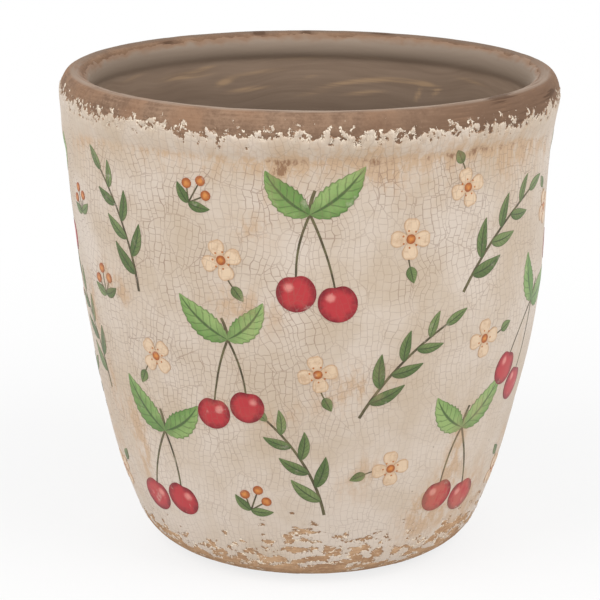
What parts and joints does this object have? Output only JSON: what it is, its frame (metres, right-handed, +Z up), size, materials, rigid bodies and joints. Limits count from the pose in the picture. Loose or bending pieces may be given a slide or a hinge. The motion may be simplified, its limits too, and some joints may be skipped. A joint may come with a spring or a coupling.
{
  "type": "flower pot",
  "caption": "Round ceramic flower pot with a rolled worn rim, a tapering crackle-glazed wall, a brushed wash inside and a recessed foot ring.",
  "frame": {"origin": "centre of the foot ring's underside, on the pot's upright axis", "axes": "+Z up along the axis, out of the mouth; -Y towards the side that the picture shows; +X to that view's right"},
  "size_m": [0.2, 0.2, 0.195],
  "materials": {
    "fired_clay": "matte, mottled brown",
    "cream_crackle_glaze": "glossy, crackled, stained and chipped at its edges",
    "grey_brown_wash": "satin, brushed"
  },
  "bodies": {
    "root": {"clay_body": "fired_clay", "crackle_glaze": "cream_crackle_glaze", "interior_wash": "grey_brown_wash"}
  },
  "joints": []
}
